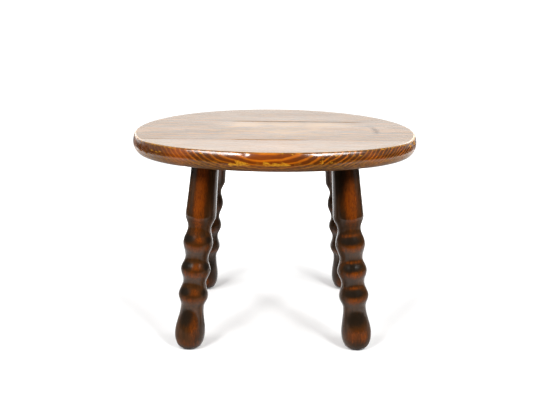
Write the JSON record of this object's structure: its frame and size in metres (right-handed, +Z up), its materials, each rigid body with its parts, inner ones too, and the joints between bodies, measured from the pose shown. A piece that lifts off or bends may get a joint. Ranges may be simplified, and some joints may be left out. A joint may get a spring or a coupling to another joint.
{
  "type": "wooden milking stool",
  "caption": "Low wooden stool with a round bullnosed seat of glued boards on splayed bobbin-turned legs with foot glides.",
  "frame": {"origin": "on the floor, below the centre of the seat", "axes": "+Z up, +X to the sitter's right along the seat's grain and its board joints, -Y towards the front board"},
  "size_m": [0.36, 0.349, 0.2614],
  "materials": {
    "seat_wood": "softwood stained orange-brown under worn glossy varnish",
    "leg_wood": "turned hardwood stained dark red-brown under glossy varnish",
    "bare_wood": "unfinished, hidden in the joints",
    "glide_steel": "dark pressed steel, rubbed on its edge"
  },
  "bodies": {
    "root": {"seat_board_front": "seat_wood", "seat_board_middle": "seat_wood", "seat_board_rear": "seat_wood", "joint_dowel_front_left": "bare_wood", "joint_dowel_front_middle": "bare_wood", "joint_dowel_front_right": "bare_wood", "joint_dowel_rear_left": "bare_wood", "joint_dowel_rear_middle": "bare_wood", "joint_dowel_rear_right": "bare_wood", "leg_front_left": "leg_wood", "leg_front_right": "leg_wood", "leg_rear_left": "leg_wood", "leg_rear_right": "leg_wood", "tenon_wedge_front_left": "bare_wood", "tenon_wedge_front_right": "bare_wood", "tenon_wedge_rear_left": "bare_wood", "tenon_wedge_rear_right": "bare_wood", "foot_glide_front_left": "glide_steel", "foot_glide_front_right": "glide_steel", "foot_glide_rear_left": "glide_steel", "foot_glide_rear_right": "glide_steel"}
  },
  "joints": []
}
